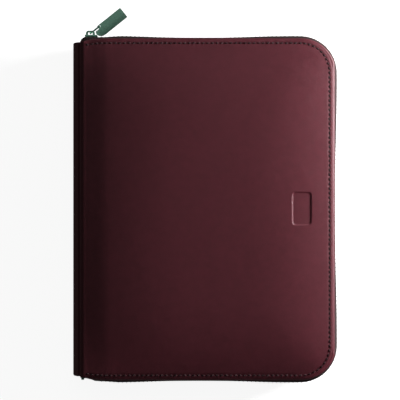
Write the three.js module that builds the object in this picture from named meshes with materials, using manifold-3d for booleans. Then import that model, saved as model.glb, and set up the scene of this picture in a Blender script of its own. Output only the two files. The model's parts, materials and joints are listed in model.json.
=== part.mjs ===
// A5 zip-around organiser case in leather, lying closed on its back cover.
// Millimetres, +Z up through the front cover, +X from the spine to the zip, +Y to the top.
// The origin is the centre of the flat rest face under the back cover.
// Each moving body is a group: back cover, spine, front cover, slider, link, tab, ring jaws, levers.

import * as THREE from 'three';
import { mergeVertices } from 'three/addons/utils/BufferGeometryUtils.js';
import Module from 'manifold-3d';

const wasm = await Module();
wasm.setup();

// ---------------------------------------------------------------- driving dimensions

const CASE_THICKNESS = 40;
const MID_Z = CASE_THICKNESS / 2;
const FITTING_GAP = 0.3;
const JOIN_OVERLAP = 0.2;

// crease that the case opens on, between the spine and both covers
const CREASE_X = -87.4;

// covers, seen from above
const COVER_RIGHT = 89.1;
const COVER_HALF_LENGTH = 118.2;
const COVER_CORNER_RADIUS = 23.5;
const COVER_LEFT = CREASE_X + FITTING_GAP;
const COVER_LEFT_HALF_LENGTH = 115.8;
const COVER_TAPER_LENGTH = 17;
const TAPER_STEPS = 4;
const ARC_STEPS = 6;

// covers, from the outer face inwards
const CROWN_HEIGHT = 2.5;
const LEATHER_THICKNESS = 1.5;
const TURNED_EDGE_THICKNESS = 1;
const TURNED_EDGE_WIDTH = 7;
const BOARD_THICKNESS = 2;
const LINING_THICKNESS = 1;
const LINING_EDGE_INSET = 0.6;
const CROWN_START_INSET = 6.5;
const CROWN_SLOPE_WIDTH = 14;
const CROWN_LEVELS = 4;
const SPINE_SIDE_MARGIN = 2;
const SPINE_SIDE_SLOPE_WIDTH = 34;

// spine
const SPINE_HALF_LENGTH = 115.6;
const SPINE_OUTER_X = -92.2;
const SPINE_ARC_RADIUS = 34.9;
const SPINE_ARC_HALF_ANGLE = THREE.MathUtils.degToRad(24.7);
const SPINE_BOARD_OUTER_X = -88.2;
const SPINE_BOARD_INNER_X = -86.4;
const SPINE_LINING_INNER_X = -85.6;
const SPINE_BOARD_HALF_WIDTH = 12.4;
const SPINE_BOARD_END_INSET = 1;

// zip tapes and teeth, as offsets outwards from the leather edge
const TAPE_INNER_OFFSET = 0.3;
const TAPE_OUTER_OFFSET = 1;
const TAPE_LEFT = -86.8;
const TAPE_EDGE_DEPTH = 17.2;
const TEETH_INNER_OFFSET = -0.5;
const TEETH_OUTER_OFFSET = 1.7;
const TEETH_LEFT = -84.2;
const TEETH_HALF_GAP = 0.6;
const STOP_LEFT = -86.6;
const STOP_RIGHT = -84.6;
const STOP_DEPTH = 2;

// slider, in its own frame: x along the zip, y outwards from the wall, z across the zip
const SLIDER_X = -79.75;
const SLIDER_LENGTH = 8.5;
const SLIDER_WIDTH = 10;
const SLIDER_INNER_Y = 115.9;
const SLIDER_PLATE_THICKNESS = 1;
const SLIDER_OUTER_Y = 120.3;
const SLIDER_FLANGE_WIDTH = 1.2;
const SLIDER_SLOT_INNER_Y = 117.8;
const SLIDER_SLOT_OUTER_Y = 119.6;
const SLIDER_POST_LENGTH = 2.5;
const SLIDER_POST_THICKNESS = 0.6;
const BAIL_OFFSET = -0.55;
const BAIL_LENGTH = 6.2;
const BAIL_HEIGHT = 3.1;
const BAIL_BAR = 1.2;
const BAIL_LEG = 1.5;
const BAIL_WIDTH = 2.2;
const BAIL_CORNER_CUT = 1.2;

// link and pull tab; the tab hangs by an eye near one corner of its inner end
const LINK_X = -80.35;
const LINK_Y = 122.5;
const LINK_LENGTH = 8.1;
const LINK_ANGLE = THREE.MathUtils.degToRad(37.4);
const LINK_WIRE_RADIUS = 0.5;
const LINK_LEG_Z = 1.8;
const TAB_ANGLE = THREE.MathUtils.degToRad(38.6);
const TAB_REACH = 19.3;
const TAB_WIDTH = 8.2;
const TAB_THICKNESS = 1.6;
const TAB_CORNER_CUT = 0.3;
const TAB_EYE_INSET = 1.2;
const TAB_EYE_RADIUS = 0.75;
const TAB_EYE_LUG = 1.4;
const TAB_NECK_SETBACK = 2.4;
// the neck's rounded end: distance past the eye, then across from the tab's far long edge
const TAB_NECK_END = [
  [0.9, 0],
  [3.1, 0.7],
  [4.5, 2.1],
  [5, 3.6],
  [5, 5],
  [4.2, 5.8],
];

// ring mechanism, on the inner face of the spine
const RING_PITCHES = [-73, -54, -35, 35, 54, 73];
const RING_WIRE_RADIUS = 1.3;
const RING_RADIUS = 9;
const RING_CENTRE_X = -76.3;
const RING_FOOT_ANGLE = THREE.MathUtils.degToRad(41.6);
const RING_TIP_ANGLE = THREE.MathUtils.degToRad(178.7);
const RING_STEPS = 12;
const BASE_HALF_LENGTH = 104;
const BASE_HALF_WIDTH = 7;
const BASE_HEIGHT = 4.2;
const BASE_SHEET = 0.8;
const BASE_SHOULDER_HALF_WIDTH = 5;
const BASE_SHOULDER_HEIGHT = 2.6;
const BASE_INNER_SHOULDER_SHARE = 0.6;
const BASE_INNER_SHOULDER_DROP = 0.5;
const BASE_OPEN_END_Y = 95;
const RING_NOTCH_LENGTH = 4.4;
const RING_NOTCH_INNER_OFFSET = 4.2;
const BLADE_HALF_LENGTH = 84;
const BLADE_THICKNESS = 0.8;
const BLADE_BOTTOM_X = -85.1;
const BLADE_OUTER_OFFSET = 5.9;
const BLADE_INNER_OFFSET = 0.3;
const RIVET_Y = 89;
const RIVET_HEAD_RADIUS = 2.8;
const RIVET_SHANK_RADIUS = 1.6;
const RIVET_HEAD_HEIGHT = 0.8;
const RIVET_HEAD_TOP_SHARE = 0.75;
const RIVET_HOLE_LENGTH = 12;
const RIVET_END_X = -87.8;
const LEVER_PIVOT_X = -83.4;
const LEVER_PIVOT_Y = 99.5;
const LEVER_HALF_WIDTH = 5;
const LEVER_PIN_RADIUS = 0.7;
const LEVER_HUB_WALL = 1.1;
// a lever's side view: distance outwards from its pivot, then height above it
const LEVER_OUTLINE = [
  [-3.6, -0.9],
  [2, -0.9],
  [14, 4.2],
  [14, 6],
  [2, 1.6],
  [-3.6, 0.9],
];

// pockets and pen loop
const POCKET_SHEET = 0.8;
const POCKET_SPACE = 0.6;
const POCKET_RIM = 3;
const POCKET_LEFT = -58;
const POCKET_RIGHT = 78;
const DOCUMENT_POCKET_BOTTOM = -108;
const DOCUMENT_POCKET_TOP = 52;
const PAD_POCKET_BOTTOM = -108;
const PAD_POCKET_TOP = -34;
const PAD_POCKET_RIGHT = 60;
const CARD_SLOT_LEFT = -16;
const CARD_SLOT_BOTTOM = -100;
const CARD_SLOT_TOP = -16;
const CARD_SLOT_STEP = 15;
const PEN_LOOP_X = 79;
const PEN_LOOP_OUTER_RADIUS = 7;
const PEN_LOOP_BORE_RADIUS = 5.6;
const PEN_LOOP_LENGTH = 30;
const PEN_LOOP_FLAP_LEFT = 63;
const PEN_LOOP_FLAP_THICKNESS = 0.9;

// depths below the outermost plane of a cover, shared by both covers
const MARGIN_DEPTH = CROWN_HEIGHT;
const LEATHER_INNER_DEPTH = MARGIN_DEPTH + LEATHER_THICKNESS;
const BOARD_INNER_DEPTH = LEATHER_INNER_DEPTH + BOARD_THICKNESS;
const TAPE_SEAM_DEPTH = LEATHER_INNER_DEPTH + TURNED_EDGE_THICKNESS;
const LINING_INNER_DEPTH = BOARD_INNER_DEPTH + LINING_THICKNESS;

// ---------------------------------------------------------------- materials

function paint(color, roughness, metalness) {
  return () => new THREE.MeshStandardMaterial({ color, roughness, metalness });
}

const burgundyLeather = paint(0x4b262c, 0.45, 0);
const liningFabric = paint(0x3a2024, 0.9, 0);
const liningLeather = paint(0x42222a, 0.6, 0);
const greyBoard = paint(0x8b7f70, 0.95, 0);
const foam = paint(0xcfc8b8, 1, 0);
const tapeFabric = paint(0x241214, 0.95, 0);
const darkTeeth = paint(0x1c1416, 0.5, 0);
const gunmetal = paint(0x46645a, 0.3, 1);
const nickel = paint(0xb9bcb8, 0.25, 1);

// ---------------------------------------------------------------- solids

function toManifold(geometry) {
  const bare = geometry.clone();
  bare.deleteAttribute('normal');
  bare.deleteAttribute('uv');
  const merged = mergeVertices(bare, 1e-4);
  const mesh = new wasm.Mesh({
    numProp: 3,
    vertProperties: new Float32Array(merged.attributes.position.array),
    triVerts: new Uint32Array(merged.index.array),
  });
  return new wasm.Manifold(mesh);
}

function fromManifold(solid) {
  const mesh = solid.getMesh();
  const geometry = new THREE.BufferGeometry();
  geometry.setAttribute('position', new THREE.BufferAttribute(new Float32Array(mesh.vertProperties), 3));
  geometry.setIndex(new THREE.BufferAttribute(new Uint32Array(mesh.triVerts), 1));
  geometry.computeVertexNormals();
  return geometry;
}

function join(first, ...others) {
  let solid = toManifold(first);
  for (const other of others) {
    solid = solid.add(toManifold(other));
  }
  return fromManifold(solid);
}

function cut(first, ...others) {
  let solid = toManifold(first);
  for (const other of others) {
    solid = solid.subtract(toManifold(other));
  }
  return fromManifold(solid);
}

function box(x0, x1, y0, y1, z0, z1) {
  const geometry = new THREE.BoxGeometry(x1 - x0, y1 - y0, z1 - z0);
  geometry.translate((x0 + x1) / 2, (y0 + y1) / 2, (z0 + z1) / 2);
  return geometry;
}

function extrudeUp(points, z0, z1) {
  const shape = new THREE.Shape(points);
  const geometry = new THREE.ExtrudeGeometry(shape, { depth: Math.abs(z1 - z0), bevelEnabled: false });
  geometry.translate(0, 0, Math.min(z0, z1));
  return geometry;
}

// a section drawn in x and z, extruded along y
function extrudeAlongY(points, y0, y1) {
  const geometry = extrudeUp(points, 0, y1 - y0);
  geometry.rotateX(Math.PI / 2);
  geometry.translate(0, y1, 0);
  return geometry;
}

function cylinderAlong(axis, radius, length, sides = 16) {
  const geometry = new THREE.CylinderGeometry(radius, radius, length, sides);
  if (axis === 'x') {
    geometry.rotateZ(Math.PI / 2);
  }
  if (axis === 'z') {
    geometry.rotateX(Math.PI / 2);
  }
  return geometry;
}

// a closed solid through outlines that have the same number of points
function loft(rings) {
  const count = rings[0].points.length;
  const positions = [];
  for (const ring of rings) {
    for (const point of ring.points) {
      positions.push(point.x, point.y, ring.z);
    }
  }
  const index = [];
  for (let level = 0; level < rings.length - 1; level += 1) {
    for (let i = 0; i < count; i += 1) {
      const a = level * count + i;
      const b = level * count + ((i + 1) % count);
      index.push(a, b, b + count, a, b + count, a + count);
    }
  }
  const lastStart = (rings.length - 1) * count;
  for (const [a, b, c] of THREE.ShapeUtils.triangulateShape(rings[0].points, [])) {
    index.push(c, b, a);
  }
  for (const [a, b, c] of THREE.ShapeUtils.triangulateShape(rings[rings.length - 1].points, [])) {
    index.push(lastStart + a, lastStart + b, lastStart + c);
  }
  const geometry = new THREE.BufferGeometry();
  geometry.setAttribute('position', new THREE.Float32BufferAttribute(positions, 3));
  geometry.setIndex(index);
  geometry.computeVertexNormals();
  return geometry;
}

function piece(group, name, geometry, material) {
  const mesh = new THREE.Mesh(geometry, material());
  mesh.name = name;
  group.add(mesh);
  return mesh;
}

// ---------------------------------------------------------------- cover outlines

function cornerPoints(centreX, centreY, radius, startAngle) {
  const points = [];
  for (let i = 0; i <= ARC_STEPS; i += 1) {
    const angle = startAngle + (i / ARC_STEPS) * (Math.PI / 2);
    points.push(new THREE.Vector2(centreX + radius * Math.cos(angle), centreY + radius * Math.sin(angle)));
  }
  return points;
}

// the U that runs along the bottom, round the right side and back along the top
function edgePoints(offset, left) {
  const radius = COVER_CORNER_RADIUS + offset;
  const centreX = COVER_RIGHT - COVER_CORNER_RADIUS;
  const centreY = COVER_HALF_LENGTH - COVER_CORNER_RADIUS;
  return [
    new THREE.Vector2(left, -COVER_HALF_LENGTH - offset),
    ...cornerPoints(centreX, -centreY, radius, -Math.PI / 2),
    ...cornerPoints(centreX, centreY, radius, 0),
    new THREE.Vector2(left, COVER_HALF_LENGTH + offset),
  ];
}

// a whole cover: the U with its ends drawn in towards the shorter spine
function coverOutline(inset, left) {
  const halfLeft = COVER_LEFT_HALF_LENGTH - inset;
  const halfLong = COVER_HALF_LENGTH - inset;
  const end = left + COVER_TAPER_LENGTH;
  const taper = new THREE.QuadraticBezierCurve(
    new THREE.Vector2(left, halfLeft),
    new THREE.Vector2((left + end) / 2, halfLong),
    new THREE.Vector2(end, halfLong),
  );
  const upper = taper.getPoints(TAPER_STEPS);
  const lower = upper.map((p) => new THREE.Vector2(p.x, -p.y));
  const right = edgePoints(-inset, left).slice(1, -1);
  return [...lower, ...right, ...upper.reverse()];
}

function strip(innerOffset, outerOffset, left) {
  return [...edgePoints(outerOffset, left), ...edgePoints(innerOffset, left).reverse()];
}

// ---------------------------------------------------------------- covers

// side.z turns a depth below the cover's outermost plane into a height
const backSide = { name: 'back', z: (depth) => depth };
const frontSide = { name: 'front', z: (depth) => CASE_THICKNESS - depth };

function slab(side, points, depth0, depth1) {
  return extrudeUp(points, side.z(depth0), side.z(depth1));
}

// the sloping outlines of a flat-topped pillow, from its margin up to its plateau
function crownRings(side, baseDepth, crown, inset) {
  const rings = [];
  for (let level = 0; level <= CROWN_LEVELS; level += 1) {
    const t = level / CROWN_LEVELS;
    const left = COVER_LEFT + SPINE_SIDE_MARGIN + inset + SPINE_SIDE_SLOPE_WIDTH * t;
    rings.push({
      points: coverOutline(CROWN_START_INSET + inset + CROWN_SLOPE_WIDTH * t, left),
      z: side.z(baseDepth - crown * Math.sin((t * Math.PI) / 2)),
    });
  }
  return rings;
}

function loftOutwards(side, rings) {
  const upwards = side.z(0) > side.z(1);
  return loft(upwards ? rings : rings.reverse());
}

function coverLeather(side) {
  const skirt = coverOutline(0, COVER_LEFT);
  const outer = loftOutwards(side, [
    { points: skirt, z: side.z(LEATHER_INNER_DEPTH) },
    { points: skirt, z: side.z(MARGIN_DEPTH) },
    ...crownRings(side, MARGIN_DEPTH, CROWN_HEIGHT, 0),
  ]);
  const hollow = loftOutwards(side, crownRings(side, LEATHER_INNER_DEPTH, CROWN_HEIGHT, LEATHER_THICKNESS));
  const turnedEdge = slab(side, strip(-TURNED_EDGE_WIDTH, 0, COVER_LEFT + COVER_TAPER_LENGTH),
    LEATHER_INNER_DEPTH, TAPE_SEAM_DEPTH);
  return join(cut(outer, hollow), turnedEdge);
}

function coverPadding(side) {
  const crown = CROWN_HEIGHT - FITTING_GAP;
  const inset = LEATHER_THICKNESS + 2 * FITTING_GAP;
  return loftOutwards(side, crownRings(side, LEATHER_INNER_DEPTH, crown, inset));
}

function coverBoard(side) {
  const points = coverOutline(TURNED_EDGE_WIDTH + FITTING_GAP, COVER_LEFT + 1);
  return slab(side, points, LEATHER_INNER_DEPTH, BOARD_INNER_DEPTH);
}

function coverLining(side) {
  return slab(side, coverOutline(LINING_EDGE_INSET, COVER_LEFT), BOARD_INNER_DEPTH, LINING_INNER_DEPTH);
}

function zipTape(side) {
  const seam = slab(side, strip(-TURNED_EDGE_WIDTH + FITTING_GAP, TAPE_OUTER_OFFSET, TAPE_LEFT),
    TAPE_SEAM_DEPTH, BOARD_INNER_DEPTH);
  const wall = slab(side, strip(TAPE_INNER_OFFSET, TAPE_OUTER_OFFSET, TAPE_LEFT),
    TAPE_SEAM_DEPTH, TAPE_EDGE_DEPTH);
  return join(seam, wall);
}

function zipTeeth(side) {
  return slab(side, strip(TEETH_INNER_OFFSET, TEETH_OUTER_OFFSET, TEETH_LEFT),
    TAPE_EDGE_DEPTH, MID_Z - TEETH_HALF_GAP);
}

function zipStop(side, end) {
  const inner = end * (COVER_HALF_LENGTH + TEETH_INNER_OFFSET);
  const outer = end * (COVER_HALF_LENGTH + TEETH_OUTER_OFFSET);
  const z0 = side.z(TAPE_EDGE_DEPTH);
  const z1 = side.z(TAPE_EDGE_DEPTH + STOP_DEPTH);
  return box(STOP_LEFT, STOP_RIGHT, Math.min(inner, outer), Math.max(inner, outer),
    Math.min(z0, z1), Math.max(z0, z1));
}

function addCover(group, side) {
  piece(group, `${side.name}_leather`, coverLeather(side), burgundyLeather);
  piece(group, `${side.name}_padding`, coverPadding(side), foam);
  piece(group, `${side.name}_board`, coverBoard(side), greyBoard);
  piece(group, `${side.name}_lining`, coverLining(side), liningFabric);
  piece(group, `zip_tape_${side.name}`, zipTape(side), tapeFabric);
  piece(group, `zip_teeth_${side.name}`, zipTeeth(side), darkTeeth);
  piece(group, `zip_stop_${side.name}_top`, zipStop(side, 1), gunmetal);
  piece(group, `zip_stop_${side.name}_bottom`, zipStop(side, -1), gunmetal);
}

// a flat pocket: a sheet held off the lining by a rim along three sides, open along its top
function pocket(side, left, right, bottom, top) {
  const z0 = side.z(LINING_INNER_DEPTH);
  const z1 = side.z(LINING_INNER_DEPTH + POCKET_SPACE);
  const z2 = side.z(LINING_INNER_DEPTH + POCKET_SPACE + POCKET_SHEET);
  const sheet = box(left, right, bottom, top, Math.min(z1, z2), Math.max(z1, z2));
  const low = Math.min(z0, z1);
  const high = Math.max(z0, z1);
  return join(sheet,
    box(left, left + POCKET_RIM, bottom, top, low, high),
    box(right - POCKET_RIM, right, bottom, top, low, high),
    box(left, right, bottom, bottom + POCKET_RIM, low, high));
}

function penLoop() {
  const base = LINING_INNER_DEPTH;
  const centreZ = base + PEN_LOOP_OUTER_RADIUS;
  const roll = cylinderAlong('y', PEN_LOOP_OUTER_RADIUS, PEN_LOOP_LENGTH, 20);
  roll.translate(PEN_LOOP_X, 0, centreZ);
  const bore = cylinderAlong('y', PEN_LOOP_BORE_RADIUS, PEN_LOOP_LENGTH + 2, 20);
  bore.translate(PEN_LOOP_X, 0, centreZ);
  const flap = box(PEN_LOOP_FLAP_LEFT, PEN_LOOP_X, -PEN_LOOP_LENGTH / 2, PEN_LOOP_LENGTH / 2,
    base, base + PEN_LOOP_FLAP_THICKNESS);
  return cut(join(roll, flap), bore);
}

function addFrontPockets(group) {
  piece(group, 'document_pocket',
    pocket(frontSide, POCKET_LEFT, POCKET_RIGHT, DOCUMENT_POCKET_BOTTOM, DOCUMENT_POCKET_TOP), liningLeather);
  for (let i = 0; i < 3; i += 1) {
    const depth = LINING_INNER_DEPTH + POCKET_SPACE + POCKET_SHEET * (i + 1);
    const top = CARD_SLOT_TOP - CARD_SLOT_STEP * i;
    const slot = box(CARD_SLOT_LEFT, POCKET_RIGHT, CARD_SLOT_BOTTOM, top,
      frontSide.z(depth + POCKET_SHEET), frontSide.z(depth));
    piece(group, `card_slot_${i + 1}`, slot, liningLeather);
  }
}

// ---------------------------------------------------------------- spine

function spineArc(radius, halfAngle, steps) {
  const centreX = SPINE_OUTER_X + SPINE_ARC_RADIUS;
  const points = [];
  for (let i = 0; i <= steps; i += 1) {
    const angle = Math.PI + halfAngle * (1 - (2 * i) / steps);
    points.push(new THREE.Vector2(centreX + radius * Math.cos(angle), MID_Z + radius * Math.sin(angle)));
  }
  return points;
}

function spineLeather() {
  const outer = spineArc(SPINE_ARC_RADIUS, SPINE_ARC_HALF_ANGLE, 12);
  const inner = spineArc(SPINE_ARC_RADIUS - LEATHER_THICKNESS, SPINE_ARC_HALF_ANGLE, 12).reverse();
  return extrudeAlongY([...outer, ...inner], -SPINE_HALF_LENGTH, SPINE_HALF_LENGTH);
}

function spinePadding() {
  const radius = SPINE_ARC_RADIUS - LEATHER_THICKNESS - FITTING_GAP;
  const chordX = SPINE_BOARD_OUTER_X - FITTING_GAP;
  const halfAngle = Math.acos((SPINE_OUTER_X + SPINE_ARC_RADIUS - chordX) / radius);
  const halfLength = SPINE_HALF_LENGTH - SPINE_BOARD_END_INSET;
  return extrudeAlongY(spineArc(radius, halfAngle, 10), -halfLength, halfLength);
}

function rivetHole(y) {
  const hole = cylinderAlong('x', RIVET_SHANK_RADIUS + FITTING_GAP, RIVET_HOLE_LENGTH, 12);
  hole.translate(RIVET_END_X - FITTING_GAP + RIVET_HOLE_LENGTH / 2, y, MID_Z);
  return hole;
}

function spineSheet(x0, x1, endInset) {
  const halfLength = SPINE_HALF_LENGTH - endInset;
  const sheet = box(x0, x1, -halfLength, halfLength,
    MID_Z - SPINE_BOARD_HALF_WIDTH, MID_Z + SPINE_BOARD_HALF_WIDTH);
  return cut(sheet, rivetHole(RIVET_Y), rivetHole(-RIVET_Y));
}

function rivet() {
  const crown = SPINE_LINING_INNER_X + BASE_HEIGHT;
  const profile = [
    new THREE.Vector2(0, RIVET_END_X),
    new THREE.Vector2(RIVET_SHANK_RADIUS, RIVET_END_X),
    new THREE.Vector2(RIVET_SHANK_RADIUS, crown),
    new THREE.Vector2(RIVET_HEAD_RADIUS, crown),
    new THREE.Vector2(RIVET_HEAD_RADIUS * RIVET_HEAD_TOP_SHARE, crown + RIVET_HEAD_HEIGHT),
    new THREE.Vector2(0, crown + RIVET_HEAD_HEIGHT),
  ];
  const geometry = new THREE.LatheGeometry(profile, 12);
  geometry.rotateZ(-Math.PI / 2);
  return geometry;
}

// ---------------------------------------------------------------- ring mechanism

function baseSection(inset) {
  const x = (height) => SPINE_LINING_INNER_X + height;
  const half = BASE_HALF_WIDTH - inset;
  const shoulder = BASE_SHOULDER_HALF_WIDTH - inset * BASE_INNER_SHOULDER_SHARE;
  return [
    new THREE.Vector2(x(0), MID_Z - half),
    new THREE.Vector2(x(BASE_SHOULDER_HEIGHT - inset * BASE_INNER_SHOULDER_DROP), MID_Z - half),
    new THREE.Vector2(x(BASE_HEIGHT - inset), MID_Z - shoulder),
    new THREE.Vector2(x(BASE_HEIGHT - inset), MID_Z + shoulder),
    new THREE.Vector2(x(BASE_SHOULDER_HEIGHT - inset * BASE_INNER_SHOULDER_DROP), MID_Z + half),
    new THREE.Vector2(x(0), MID_Z + half),
  ];
}

function ringBasePlate() {
  const arch = extrudeAlongY([...baseSection(0), ...baseSection(BASE_SHEET).reverse()],
    -BASE_HALF_LENGTH, BASE_HALF_LENGTH);
  const cutters = [rivetHole(RIVET_Y), rivetHole(-RIVET_Y)];
  for (const y of RING_PITCHES) {
    for (const side of [-1, 1]) {
      const near = MID_Z + side * RING_NOTCH_INNER_OFFSET;
      const far = MID_Z + side * (BASE_HALF_WIDTH + 1);
      cutters.push(box(BLADE_BOTTOM_X + BLADE_THICKNESS, SPINE_LINING_INNER_X + BASE_HEIGHT + 1,
        y - RING_NOTCH_LENGTH / 2, y + RING_NOTCH_LENGTH / 2, Math.min(near, far), Math.max(near, far)));
    }
  }
  for (const end of [-1, 1]) {
    const inner = end * BASE_OPEN_END_Y;
    const outer = end * (BASE_HALF_LENGTH + 1);
    const openHalf = BASE_HALF_WIDTH - BASE_SHEET;
    cutters.push(box(SPINE_LINING_INNER_X, SPINE_LINING_INNER_X + BASE_HEIGHT + 1,
      Math.min(inner, outer), Math.max(inner, outer), MID_Z - openHalf, MID_Z + openHalf));
    const pinHole = cylinderAlong('z', LEVER_PIN_RADIUS + FITTING_GAP, 2 * BASE_HALF_WIDTH + 2, 12);
    pinHole.translate(LEVER_PIVOT_X, end * LEVER_PIVOT_Y, MID_Z);
    cutters.push(pinHole);
  }
  return cut(arch, ...cutters);
}

function ringHalf(y, side) {
  const points = [];
  for (let i = 0; i <= RING_STEPS; i += 1) {
    const angle = RING_FOOT_ANGLE + (i / RING_STEPS) * (RING_TIP_ANGLE - RING_FOOT_ANGLE);
    points.push(new THREE.Vector3(
      RING_CENTRE_X - RING_RADIUS * Math.cos(angle),
      y,
      MID_Z + side * RING_RADIUS * Math.sin(angle),
    ));
  }
  const section = new THREE.Shape().absarc(0, 0, RING_WIRE_RADIUS, 0, 2 * Math.PI);
  return new THREE.ExtrudeGeometry(new THREE.Shape(section.getPoints(4).slice(0, -1)), {
    steps: RING_STEPS,
    extrudePath: new THREE.CatmullRomCurve3(points),
    bevelEnabled: false,
  });
}

function blade(side) {
  const near = MID_Z + side * BLADE_INNER_OFFSET;
  const far = MID_Z + side * BLADE_OUTER_OFFSET;
  return box(BLADE_BOTTOM_X, BLADE_BOTTOM_X + BLADE_THICKNESS, -BLADE_HALF_LENGTH, BLADE_HALF_LENGTH,
    Math.min(near, far), Math.max(near, far));
}

function addRingJaw(group, name, side) {
  const jaw = new THREE.Group();
  group.add(jaw);
  piece(jaw, `ring_blade_${name}`, blade(side), nickel);
  RING_PITCHES.forEach((y, i) => {
    piece(jaw, `ring_half_${name}_${i + 1}`, ringHalf(y, side), nickel);
  });
}

// a thumb lever, its side view turned so that up is away from the spine
function lever(end) {
  const points = LEVER_OUTLINE.map(([along, up]) => new THREE.Vector2(
    LEVER_PIVOT_X + up,
    end * (LEVER_PIVOT_Y + along),
  ));
  const plate = extrudeUp(points, MID_Z - LEVER_HALF_WIDTH, MID_Z + LEVER_HALF_WIDTH);
  const hub = cylinderAlong('z', LEVER_PIN_RADIUS + LEVER_HUB_WALL, 2 * LEVER_HALF_WIDTH, 16);
  hub.translate(LEVER_PIVOT_X, end * LEVER_PIVOT_Y, MID_Z);
  const hole = cylinderAlong('z', LEVER_PIN_RADIUS + FITTING_GAP, 2 * LEVER_HALF_WIDTH + 2, 12);
  hole.translate(LEVER_PIVOT_X, end * LEVER_PIVOT_Y, MID_Z);
  return cut(join(plate, hub), hole);
}

function addRingMechanism(group) {
  piece(group, 'ring_base_plate', ringBasePlate(), nickel);
  addRingJaw(group, 'back', -1);
  addRingJaw(group, 'front', 1);
  for (const [name, end] of [['top', 1], ['bottom', -1]]) {
    const rivetMesh = piece(group, `spine_rivet_${name}`, rivet(), nickel);
    rivetMesh.position.set(0, end * RIVET_Y, MID_Z);
    const pin = piece(group, `lever_pin_${name}`,
      cylinderAlong('z', LEVER_PIN_RADIUS, 2 * BASE_HALF_WIDTH, 12), nickel);
    pin.position.set(LEVER_PIVOT_X, end * LEVER_PIVOT_Y, MID_Z);
    piece(group, `ring_lever_${name}`, lever(end), nickel);
  }
}

// ---------------------------------------------------------------- slider, link and pull tab

function sliderBody() {
  const half = SLIDER_LENGTH / 2;
  const halfWidth = SLIDER_WIDTH / 2;
  const innerTop = SLIDER_INNER_Y + SLIDER_PLATE_THICKNESS;
  const outerTop = SLIDER_OUTER_Y + SLIDER_PLATE_THICKNESS;
  const flange = -halfWidth + SLIDER_FLANGE_WIDTH;
  const bailLeft = BAIL_OFFSET - BAIL_LENGTH / 2;
  const bailRight = BAIL_OFFSET + BAIL_LENGTH / 2;
  const bailTop = outerTop + BAIL_HEIGHT;
  const bailOutline = [
    new THREE.Vector2(bailLeft, outerTop - JOIN_OVERLAP),
    new THREE.Vector2(bailRight, outerTop - JOIN_OVERLAP),
    new THREE.Vector2(bailRight, bailTop - BAIL_CORNER_CUT),
    new THREE.Vector2(bailRight - BAIL_CORNER_CUT, bailTop),
    new THREE.Vector2(bailLeft + BAIL_CORNER_CUT, bailTop),
    new THREE.Vector2(bailLeft, bailTop - BAIL_CORNER_CUT),
  ];
  const solid = join(
    box(-half, half, SLIDER_OUTER_Y, outerTop, -halfWidth, halfWidth),
    box(-half, half, SLIDER_INNER_Y, innerTop, -halfWidth, halfWidth),
    box(-half, -half + SLIDER_POST_LENGTH, innerTop - JOIN_OVERLAP, SLIDER_OUTER_Y + JOIN_OVERLAP,
      -SLIDER_POST_THICKNESS / 2, SLIDER_POST_THICKNESS / 2),
    box(-half, half, SLIDER_SLOT_OUTER_Y, SLIDER_OUTER_Y + JOIN_OVERLAP, -halfWidth, flange),
    box(-half, half, innerTop - JOIN_OVERLAP, SLIDER_SLOT_INNER_Y, -halfWidth, flange),
    extrudeUp(bailOutline, -BAIL_WIDTH / 2, BAIL_WIDTH / 2),
  );
  const opening = box(bailLeft + BAIL_LEG, bailRight - BAIL_LEG, outerTop, bailTop - BAIL_BAR,
    -BAIL_WIDTH, BAIL_WIDTH);
  return cut(solid, opening);
}

// a flat loop of wire: two bars along z joined by two legs along x
function linkLoop() {
  const r = LINK_WIRE_RADIUS;
  const bars = [0, LINK_LENGTH].map((x) => {
    const bar = cylinderAlong('z', r, 2 * LINK_LEG_Z + 2 * r, 10);
    bar.translate(x, 0, 0);
    return bar;
  });
  const legs = [-1, 1].map((side) => {
    const leg = cylinderAlong('x', r, LINK_LENGTH, 10);
    leg.translate(LINK_LENGTH / 2, 0, side * LINK_LEG_Z);
    return leg;
  });
  return join(bars[0], bars[1], ...legs);
}

function pullTab() {
  const near = TAB_EYE_INSET;
  const far = TAB_EYE_INSET - TAB_WIDTH;
  const neckSide = near - TAB_NECK_SETBACK;
  const shape = new THREE.Shape([
    new THREE.Vector2(TAB_REACH - TAB_CORNER_CUT, near),
    new THREE.Vector2(TAB_REACH, near - TAB_CORNER_CUT),
    new THREE.Vector2(TAB_REACH, far + TAB_CORNER_CUT),
    new THREE.Vector2(TAB_REACH - TAB_CORNER_CUT, far),
    ...TAB_NECK_END.map(([past, across]) => new THREE.Vector2(-past, far + across)),
    new THREE.Vector2(-TAB_EYE_LUG, neckSide),
    new THREE.Vector2(-TAB_EYE_LUG, near - TAB_CORNER_CUT),
    new THREE.Vector2(-TAB_EYE_LUG + TAB_CORNER_CUT, near),
  ]);
  const eye = new THREE.Path();
  eye.absarc(0, 0, TAB_EYE_RADIUS, 0, 2 * Math.PI, false);
  shape.holes.push(eye);
  const geometry = new THREE.ExtrudeGeometry(shape, {
    depth: TAB_THICKNESS,
    bevelEnabled: false,
    curveSegments: 8,
  });
  geometry.translate(0, 0, -TAB_THICKNESS / 2);
  return geometry;
}

function addSlider(group) {
  const slider = new THREE.Group();
  slider.position.set(SLIDER_X, 0, MID_Z);
  group.add(slider);
  piece(slider, 'zip_slider', sliderBody(), gunmetal);

  const link = new THREE.Group();
  link.position.set(LINK_X - SLIDER_X, LINK_Y, 0);
  link.rotation.z = LINK_ANGLE;
  slider.add(link);
  piece(link, 'zip_link', linkLoop(), gunmetal);

  const tab = new THREE.Group();
  tab.position.set(LINK_LENGTH, 0, 0);
  tab.rotation.z = TAB_ANGLE - LINK_ANGLE;
  link.add(tab);
  piece(tab, 'pull_tab', pullTab(), gunmetal);
}

// ---------------------------------------------------------------- assembly

const organiser = new THREE.Group();

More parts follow.
